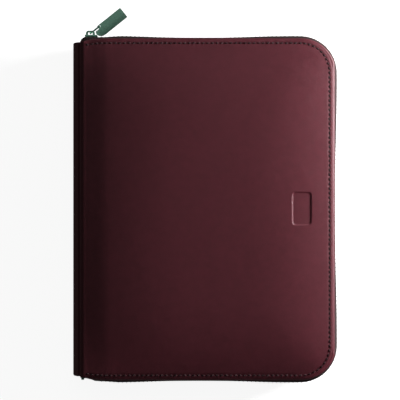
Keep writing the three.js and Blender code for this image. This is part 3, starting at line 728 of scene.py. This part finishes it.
def zip_teeth(side):
    """One row of teeth, set half a pitch from the other row so that the two mesh."""
    points, tangents, outwards, _ = wall_frames(TEETH_START_X, TOOTH_PITCH / 2)
    wave = wave_at(points[:, 0], points[:, 1])
    parity = 0 if side == "front" else 1
    head = bevelled_block(TOOTH_HEAD, 0.3)
    stem = bevelled_block(TOOTH_STEM, 0.2)
    frames_head, frames_stem = [], []
    for k in range(parity, len(points), 2):
        out = np.array([outwards[k][0], outwards[k][1], 0])
        along = np.array([tangents[k][0], tangents[k][1], 0])
        base = np.array([points[k][0], points[k][1], 0]) + out * (TOOTH_OFFSET + wave[k])
        axes = (along, out, np.array([0, 0, 1]))
        frames_head.append((base + (0, 0, HEAD_HEIGHT), axes))
        frames_stem.append((base + (0, 0, STEM_HEIGHT), axes))
    head_vertices, head_faces = repeated(*head, frames_head)
    stem_vertices, stem_faces = repeated(*stem, frames_stem)
    faces = head_faces + [tuple(i + len(head_vertices) for i in f) for f in stem_faces]
    vertices = np.concatenate([head_vertices, stem_vertices])
    from_middle(vertices, side)
    row = mesh_object(f"{side}_zip_teeth", vertices, faces, TEETH, smooth=False)
    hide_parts(f"zip_teeth_{side}")
    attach(row, BODY[side])
    return row


# ------------------------------------------------------------------ CAD nodes that stay

BEVELS_MM = {"gunmetal": 0.25, "nickel": 0.18}


def finish_cad_nodes():
    """Gives every CAD node its own material and soft edges where light should catch them."""
    slots = {part["node"]: part["material_slot"] for part in frame["record"]["subparts"]}
    for name, node in frame["nodes"].items():
        slot_name = slots[name]
        node.data.materials.clear()
        node.data.materials.append(SLOT_MATERIALS[slot_name])
        if slot_name in BEVELS_MM:
            soften(node, BEVELS_MM[slot_name], 2, 40)


# ------------------------------------------------------------------ rings

RING_RADIUS = 9.0
RING_START = math.radians(41.6)
RING_END = math.radians(178.7)


def ring_half(side, number):
    """One half of a binder ring as a smooth round wire with softened ends."""
    node = f"ring_half_{side}_{number}"
    low, high = box_mm(node)
    wire = (high[1] - low[1]) / 2
    y = (high[1] + low[1]) / 2
    centre_x = high[0] - wire - RING_RADIUS
    steps, sides = 40, 14
    rings = []
    for k in range(steps + 1):
        angle = RING_START + (RING_END - RING_START) * k / steps
        radial = np.array([-math.cos(angle), 0, SIGN[side] * math.sin(angle)])
        centre = np.array([centre_x, y, MID_Z]) + radial * RING_RADIUS
        turn = np.linspace(0, 2 * math.pi, sides, endpoint=False)
        around = np.cos(turn)[:, None] * radial + np.sin(turn)[:, None] * np.array([0, 1, 0])
        rings.append(centre + wire * around)
    faces = grid_faces(len(rings), sides, wrap=True, flip=(side == "back"))
    first = tuple(range(sides))
    last = tuple(range(steps * sides, (steps + 1) * sides))
    faces += [first[::-1], last] if side == "front" else [first, last[::-1]]
    half = mesh_object(f"ring_wire_{side}_{number}", np.concatenate(rings), faces, NICKEL)
    soften(half, 0.25, 2, 60)
    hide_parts(node)
    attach(half, f"ring_jaw_{side}")
    return half


# ------------------------------------------------------------------ sheets with soft edges

INNER_STITCH_PITCH = 3.0
INNER_STITCH_LENGTH = 2.1
INNER_STITCH_RADIUS = 0.3


def outline_columns(x0, x1, corner, step):
    """x of the columns over a rounded rectangle, closer together in its corners."""
    turn = corner * (1 - np.cos(np.linspace(0, math.pi / 2, 7)))
    middle = np.linspace(x0 + corner, x1 - corner, max(3, int((x1 - x0) / step)))
    return np.concatenate([x0 + turn[:-1], middle, (x1 - turn[::-1])[1:]])


def rounded_limits(xs, x0, x1, y0, y1, corner):
    """Lowest and highest y of a rounded rectangle at each x."""
    reach = np.maximum(np.maximum(x0 + corner - xs, xs - (x1 - corner)), 0)
    cut = corner - np.sqrt(np.maximum(corner**2 - reach**2, 0))
    return y0 + cut, y1 - cut


def soft_sheet(name, xs, low, high, face, thickness, material, edge=0.35, rows=24, up=1):
    """A closed sheet with rounded edges. face gives the height of its outer side at x and y.

    The columns, xs, and their ends, low and high, lie one edge radius inside the sheet's outline.
    """
    share = (1 - np.cos(np.linspace(0, math.pi, rows))) / 2
    x = np.repeat(xs[None, :], rows, 0)
    y = low[None, :] + (high - low)[None, :] * share[:, None]
    top = np.stack([x, y, face(x, y)], 2).reshape(-1, 3)
    bottom = top - (0, 0, up * thickness)
    columns = len(xs)
    loop = list(range(columns))
    loop += [r * columns + columns - 1 for r in range(1, rows - 1)]
    loop += [(rows - 1) * columns + c for c in range(columns - 1, -1, -1)]
    loop += [r * columns for r in range(rows - 2, 0, -1)]
    points = top[loop]
    ahead = np.roll(points, -1, 0) - np.roll(points, 1, 0)
    out = np.stack([ahead[:, 1], -ahead[:, 0], np.zeros(len(points))], 1)
    out /= np.linalg.norm(out, axis=1)[:, None]
    rings = []
    for k in range(1, 6):
        angle = math.pi * k / 6
        drop = thickness * (1 - math.cos(angle)) / 2
        rings.append(points + out * edge * math.sin(angle) - (0, 0, up * drop))
    count = len(loop)
    vertices = np.concatenate([top, bottom, *rings])
    ring_start = len(top) + len(bottom)
    levels = [loop]
    levels += [list(range(ring_start + k * count, ring_start + (k + 1) * count)) for k in range(5)]
    levels += [[i + len(top) for i in loop]]
    faces = grid_faces(rows, columns) + grid_faces(rows, columns, flip=True, start=len(top))
    for upper, lower in zip(levels[:-1], levels[1:]):
        for k in range(count):
            n = (k + 1) % count
            faces.append((upper[n], upper[k], lower[k], lower[n]))
    if up < 0:
        faces = [f[::-1] for f in faces]
    return mesh_object(name, vertices, faces, material)


def flat_area(xs, low, high):
    """Area in square metres between two edges."""
    return float(np.trapz(high - low, xs)) * MM**2


def stitch_line(name, points, body, height):
    """A row of thread along a line of points, on the inner side of a cover."""
    points = np.asarray(points, float)
    steps = np.linalg.norm(np.diff(points, axis=0), axis=1)
    reached = np.concatenate([[0], np.cumsum(steps)])
    margin = INNER_STITCH_PITCH / 2
    count = max(2, round(reached[-1] / INNER_STITCH_PITCH))
    places = np.linspace(margin, reached[-1] - margin, count)
    frames = []
    for place in places:
        k = min(np.searchsorted(reached, place, side="right") - 1, len(steps) - 1)
        along = (points[k + 1] - points[k]) / steps[k]
        origin = points[k] + along * (place - reached[k])
        axes = ((along[0], along[1], 0), (-along[1], along[0], 0), (0, 0, 1))
        frames.append(((origin[0], origin[1], height(*origin)), axes))
    thread = capsule(INNER_STITCH_LENGTH, INNER_STITCH_RADIUS, flatten=0.7)
    vertices, faces = repeated(*thread, frames)
    row = mesh_object(name, vertices, faces, POCKET_THREAD)
    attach(row, body)
    return row


# ------------------------------------------------------------------ linings and pockets

LINING_EDGE = 0.45
SPINE_LINING_EDGE = 0.35
SPINE_LINING_CORNER = 0.8
POCKET_EDGE = 0.35
POCKET_CORNER = 3.0
POCKET_STITCH_INSET = 2.4
HEM_INSET = 3.2
THREAD_LIFT = 0.06
CREASE_THICKNESS = 0.55
CREASE_PATH = [
    (-76, 12.98),
    (-82.6, 12.93),
    (-84.5, 12.6),
    (-85.25, 11.9),
    (-85.45, 10.6),
    (-85.5, 8.2),
]
PEN_LOOP_WALL = 1.4


def lining(side):
    """The cover's lining, laid taut over the board with a faint ripple across it."""
    low, high = box_mm(f"{side}_lining")
    face_z = high[2] if side == "back" else low[2]
    up = 1 if side == "back" else -1
    corner = CORNER_RADIUS - 0.6
    xs = outline_columns(low[0] + LINING_EDGE, high[0] - LINING_EDGE, corner, 5.0)
    xs = xs[(xs <= low[0] + LINING_EDGE) | (xs > low[0] + 1.2)]
    inner = half_length_at(np.minimum(xs, RIGHT - CORNER_RADIUS)) - 0.6 - LINING_EDGE
    reach = np.maximum(xs - (high[0] - LINING_EDGE - corner), 0)
    half = inner - (corner - np.sqrt(np.maximum(corner**2 - reach**2, 0)))

    def face(x, y):
        return face_z - up * (0.03 + 0.03 * np.sin(x / 9) * np.sin(y / 13))

    sheet = soft_sheet(f"{side}_lining_cloth", xs, -half, half, face, 0.9, LINING, LINING_EDGE, 60, up)
    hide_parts(f"{side}_lining")
    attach(sheet, BODY[side])
    area = flat_area(xs, -half, half)
    edge = [(low[0] + 6, -half.max() + 3), (high[0] - corner, -half.max() + 3)]
    turns = np.linspace(-math.pi / 2, 0, 9)
    centre = (high[0] - corner, half.max() - corner)
    turn_radius = corner - 3
    for a in turns:
        edge.append((centre[0] + turn_radius * math.cos(a), -centre[1] + turn_radius * math.sin(a)))
    edge += [(x, -y) for x, y in edge[::-1]]
    stitch_line(f"{side}_lining_stitches", edge, BODY[side], lambda x, y: face(x, y) + up * 0.08)
    return sheet


def spine_lining():
    """The cloth glued to the spine's board, upright between the two creases and facing the rings."""
    low, high = box_mm("spine_lining")
    xs = outline_columns(low[2] + SPINE_LINING_EDGE, high[2] - SPINE_LINING_EDGE, SPINE_LINING_CORNER, 3.0)
    near, far = low[1] + SPINE_LINING_EDGE, high[1] - SPINE_LINING_EDGE
    bottom, top = rounded_limits(xs, xs[0], xs[-1], near, far, SPINE_LINING_CORNER)

    def face(z, y):
        return high[0] - 0.03 + 0.02 * np.sin(z / 5) * np.sin(y / 13)

    sheet = soft_sheet("spine_lining_cloth", xs, bottom, top, face, 0.72, LINING, SPINE_LINING_EDGE, 60)
    # it is made lying down: x and z change places to stand it up, which turns its faces inside out
    for vertex in sheet.data.vertices:
        x, y, z = vertex.co
        vertex.co = (z, y, x)
    sheet.data.flip_normals()
    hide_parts("spine_lining")
    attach(sheet, "spine")
    return sheet


def pocket_sheet(node, side):
    """A leather pocket, low along its three sewn edges and raised a little between them."""
    low, high = box_mm(node)
    up = 1 if side == "back" else -1
    outer = high[2] if side == "back" else low[2]
    sewn = 0.55 if high[2] - low[2] > 1 else 0.12
    x0, x1 = low[0] + POCKET_EDGE, high[0] - POCKET_EDGE
    y0, y1 = low[1] + POCKET_EDGE, high[1] - POCKET_EDGE
    xs = outline_columns(x0, x1, POCKET_CORNER, 4.0)
    bottom = rounded_limits(xs, x0, x1, y0, y1, POCKET_CORNER)[0]
    top = np.full(len(xs), y1)

    def face(x, y):
        to_edge = np.minimum(np.minimum(x - low[0], high[0] - x), y - low[1])
        down = sewn * (1 - smooth_step((to_edge - 2.5) / 7))
        hem = 0.1 * np.exp(-(((high[1] - y - HEM_INSET) / 0.7) ** 2))
        hem = hem + 0.12 * np.exp(-(((to_edge - POCKET_STITCH_INSET) / 0.6) ** 2))
        wave = 0.04 * np.sin(x / 14 + 1) * np.sin(y / 19)
        return outer - up * (0.06 + down + hem + wave)

    name = f"{node}_leather"
    sheet = soft_sheet(name, xs, bottom, top, face, 0.72, POCKET_LEATHER, POCKET_EDGE, 48, up)
    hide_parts(node)
    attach(sheet, BODY[side])
    sewn_low, sewn_high = low + POCKET_STITCH_INSET, high - POCKET_STITCH_INSET
    u_line = [
        (sewn_low[0], high[1] - 1.5),
        (sewn_low[0], sewn_low[1]),
        (sewn_high[0], sewn_low[1]),
        (sewn_high[0], high[1] - 1.5),
    ]
    hem_line = [(low[0] + 6, high[1] - HEM_INSET), (high[0] - 6, high[1] - HEM_INSET)]

    def thread_height(x, y):
        return face(x, y) + up * THREAD_LIFT

    stitch_line(f"{node}_side_stitches", u_line, BODY[side], thread_height)
    stitch_line(f"{node}_hem_stitches", hem_line, BODY[side], thread_height)
    return sheet


def pen_loop():
    """The loop is one strip rolled round a pen's width, its two ends sewn flat to the lining."""
    low, high = box_mm("pen_loop")
    radius = (high[2] - low[2]) / 2
    centre_x, centre_z = high[0] - radius, low[2] + radius
    section = []
    for angle in np.linspace(-math.pi / 2, 1.42 * math.pi, 44):
        section.append((centre_x + radius * math.cos(angle), centre_z + radius * math.sin(angle)))
    outer = [(low[0], low[2]), *section[:-2]]
    throat_x = centre_x - radius * 0.78
    outer += [(throat_x - 2.2, low[2] + 1.1), (low[0] + 4, low[2] + 0.9), (low[0] + 0.3, low[2] + 0.85)]
    outer = np.array(outer)
    inner = []
    for angle in np.linspace(0, 2 * math.pi, 40, endpoint=False):
        reach = radius - PEN_LOOP_WALL
        inner.append((centre_x + reach * math.cos(angle), centre_z + reach * math.sin(angle)))
    bm = bmesh.new()
    ends = []
    for y, shrink in ((low[1], 0.2), (low[1] + 0.3, 0), (high[1] - 0.3, 0), (high[1], 0.2)):
        rings = []
        for points, sign in ((outer, -1), (np.array(inner), 1)):
            middle = np.array([centre_x, centre_z])
            away = points - middle
            lengths = np.linalg.norm(away, axis=1)[:, None]
            moved = points + away / lengths * sign * shrink
            moved[:, 1] = np.maximum(moved[:, 1], low[2])
            rings.append([bm.verts.new((px * MM, y * MM, pz * MM)) for px, pz in moved])
        ends.append(rings)
    for first, second in zip(ends[:-1], ends[1:]):
        for which in (0, 1):
            a, b = first[which], second[which]
            for k in range(len(a)):
                n = (k + 1) % len(a)
                quad = (a[k], a[n], b[n], b[k])
                bm.faces.new(quad if which == 0 else quad[::-1])
    for rings, flip in ((ends[0], False), (ends[-1], True)):
        edges = []
        for ring in rings:
            edges += [bm.edges.get((ring[k], ring[(k + 1) % len(ring)])) for k in range(len(ring))]
        bmesh.ops.triangle_fill(bm, use_beauty=True, edges=edges)
    bmesh.ops.recalc_face_normals(bm, faces=bm.faces[:])
    mesh = bpy.data.meshes.new("pen_loop_leather")
    bm.to_mesh(mesh)
    bm.free()
    loop = bpy.data.objects.new("pen_loop_leather", mesh)
    mesh.polygons.foreach_set("use_smooth", [len(p.vertices) == 4 for p in mesh.polygons])
    bpy.context.scene.collection.objects.link(loop)
    mesh.materials.append(POCKET_LEATHER)
    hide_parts("pen_loop")
    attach(loop, "back_cover")
    stitch_x = low[0] + 5
    stitch_ends = [(stitch_x, low[1] + 1.5), (stitch_x, high[1] - 1.5)]
    stitch_line("pen_loop_stitches", stitch_ends, "back_cover", lambda x, y: low[2] + 0.98)
    return loop


def crease_strip(side):
    """The leather strip that joins a cover's lining to the spine's lining, inside the fold."""
    path = catmull(CREASE_PATH, 5)
    normal = path_normals(path)
    under = path - normal * CREASE_THICKNESS
    ys = np.concatenate([[-114.4, -114.1], np.linspace(-112, 112, 33), [114.1, 114.4]])
    vertices = []
    for k, y in enumerate(ys):
        pinch = 0.12 if k in (0, len(ys) - 1) else 0.0
        ring = np.vstack([path - normal * pinch, (under + normal * pinch)[::-1]])
        vertices.append(np.stack([ring[:, 0], np.full(len(ring), y), ring[:, 1]], 1))
    count = 2 * len(path)
    faces = grid_faces(len(ys), count, wrap=True)
    faces.append(tuple(range(count)))
    faces.append(tuple(range((len(ys) - 1) * count, len(ys) * count))[::-1])
    vertices = np.concatenate(vertices)
    from_middle(vertices, side)
    if side == "front":
        faces = [f[::-1] for f in faces]
    strip = mesh_object(f"{side}_crease_strip", vertices, faces, POCKET_LEATHER)
    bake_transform(strip)
    return strip


# ------------------------------------------------------------------ pull tab and zip stops

TAB_ANGLE = math.radians(38.6)
TAB_CROWN = 0.3
STOP_SHIFT = 1.1


def pull_tab():
    """The tab with a slightly crowned face and softened edges."""
    node = frame["nodes"]["pull_tab"]
    mesh = node.data.copy()
    mesh.name = "pull_tab_plate"
    tab = bpy.data.objects.new("pull_tab_plate", mesh)
    bpy.context.scene.collection.objects.link(tab)
    bm = bmesh.new()
    bm.from_mesh(mesh)
    bmesh.ops.dissolve_limit(bm, angle_limit=math.radians(1), verts=bm.verts[:], edges=bm.edges[:])
    bmesh.ops.triangulate(bm, faces=bm.faces[:])
    flat = [f for f in bm.faces if abs(f.normal.z) > 0.9]
    edges = {e for f in flat for e in f.edges if all(g in flat for g in e.link_faces)}
    bmesh.ops.subdivide_edges(bm, edges=list(edges), cuts=5, use_grid_fill=True)
    bmesh.ops.triangulate(bm, faces=bm.faces[:])
    along = np.array([math.cos(TAB_ANGLE), math.sin(TAB_ANGLE)])
    across = np.array([-along[1], along[0]])
    places = np.array([v.co[:2] for v in bm.verts]) / MM @ across
    middle, half = (places.max() + places.min()) / 2, (places.max() - places.min()) / 2
    for vertex, place in zip(bm.verts, places):
        share = 1 - ((place - middle) / half) ** 2
        vertex.co.z += math.copysign(TAB_CROWN * share * MM, vertex.co.z - MID_Z * MM)
    bm.to_mesh(mesh)
    bm.free()
    mesh.polygons.foreach_set("use_smooth", [abs(p.normal.z) > 0.9 for p in mesh.polygons])
    mesh.materials.clear()
    mesh.materials.append(GUNMETAL)
    soften(tab, 0.22, 3, 50)
    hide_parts("pull_tab")
    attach(tab, "pull_tab")
    return tab


def zip_stop(side, end):
    """A crimped metal stop over the zip's last teeth."""
    node = f"zip_stop_{side}_{'top' if end > 0 else 'bottom'}"
    low, high = box_mm(node)
    centre = (low + high) / 2
    centre[1] -= end * STOP_SHIFT
    vertices, faces = bevelled_block(tuple(high - low), 0.4)
    groove = np.abs(vertices[:, 0]) < 0.5
    vertices[groove, 1] *= 0.9
    stop = mesh_object(f"{node}_crimp", vertices + centre, faces, GUNMETAL)
    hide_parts(node)
    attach(stop, BODY[side])
    return stop


# ------------------------------------------------------------------ studio

FLOOR_HALF = 3000
CAMERA_DISTANCE = 2.0
VIEW_WIDTH = 0.276
VIEW_CENTRE = (-0.0039, 0.0064)
KEY_PLACE = (0.43, 0.15, 0.108)
KEY_TARGET = (0.0, 0.03, 0.04)
KEY_SIZE = (0.3, 0.1)
KEY_POWER = 4.5
KEY_SPREAD = math.radians(150)
FILL_POWER = 0.42
# low strips that light the walls and not the top: direction in x and y, then power
SIDE_STRIPS = {"left_strip": (-1, 0, 0.2), "near_strip": (0, -1, 0.8), "far_strip": (0, 1, 1.0)}
SIDE_DISTANCE = 1.0
SIDE_HEIGHT = 0.02


def area_light(name, place, target, size, power):
    """A rectangular white lamp that the camera doesn't see."""
    data = bpy.data.lights.new(name, "AREA")
    data.shape = "RECTANGLE"
    data.size, data.size_y = size
    data.energy = power
    light = bpy.data.objects.new(name, data)
    light.location = place
    light.rotation_mode = "QUATERNION"
    light.rotation_quaternion = (Vector(target) - Vector(place)).to_track_quat("-Z", "Y")
    light.visible_camera = False
    bpy.context.scene.collection.objects.link(light)
    return light


def studio():
    """A camera straight above the front cover, a pale floor, a soft low key light and dim fills."""
    scene = bpy.context.scene
    scene.view_settings.view_transform = "Standard"
    camera_data = bpy.data.cameras.new("camera")
    camera_data.sensor_width = 36
    camera_data.lens = 36 * (CAMERA_DISTANCE - TOP_Z * MM) / VIEW_WIDTH
    camera = bpy.data.objects.new("camera", camera_data)
    camera.location = (*VIEW_CENTRE, CAMERA_DISTANCE)
    scene.collection.objects.link(camera)
    scene.camera = camera

    world = bpy.data.worlds.new("studio_world")
    world.use_nodes = True
    world.node_tree.nodes["Background"].inputs["Color"].default_value = (0.92, 1.0, 0.95, 1)
    world.node_tree.nodes["Background"].inputs["Strength"].default_value = 0.028
    scene.world = world

    material, _, _, shader = new_material("pale_floor")
    shader.inputs["Base Color"].default_value = (0.9, 0.9, 0.9, 1)
    shader.inputs["Roughness"].default_value = 0.9
    shader.inputs["Emission Color"].default_value = (1, 1, 1, 1)
    shader.inputs["Emission Strength"].default_value = 0.9
    corners = [(FLOOR_HALF * a, FLOOR_HALF * b, 0) for a, b in ((-1, -1), (1, -1), (1, 1), (-1, 1))]
    floor = mesh_object("floor", corners, [(0, 1, 2, 3)], material, smooth=False)
    floor.location.z = -0.2 * MM
    floor.visible_diffuse = False
    floor.visible_glossy = False

    key = area_light("key", KEY_PLACE, KEY_TARGET, KEY_SIZE, KEY_POWER)
    key.data.spread = KEY_SPREAD
    area_light("top_fill", (-0.1, 0.5, 1.4), (0, 0, 0), (0.8, 0.8), FILL_POWER)
    for name, (side_x, side_y, power) in SIDE_STRIPS.items():
        place = (side_x * SIDE_DISTANCE, side_y * SIDE_DISTANCE, SIDE_HEIGHT)
        area_light(name, place, (0, 0, SIDE_HEIGHT), (1.3, 0.04), power)


# ------------------------------------------------------------------ assembly

finish_cad_nodes()
for cover_side in ("front", "back"):
    leather_wrap(cover_side)
    edge_stitches(cover_side)
    zip_tape(cover_side)
    zip_teeth(cover_side)
    for ring_number in range(1, 7):
        ring_half(cover_side, ring_number)
    lining(cover_side)
    crease_strip(cover_side)
    zip_stop(cover_side, 1)
    zip_stop(cover_side, -1)

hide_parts("spine_leather", "spine_padding")
spine_lining()
pocket_sheet("document_pocket", "front")
for slot_number in (1, 2, 3):
    pocket_sheet(f"card_slot_{slot_number}", "front")
pocket_sheet("pad_pocket", "back")
pen_loop()
pull_tab()
studio()
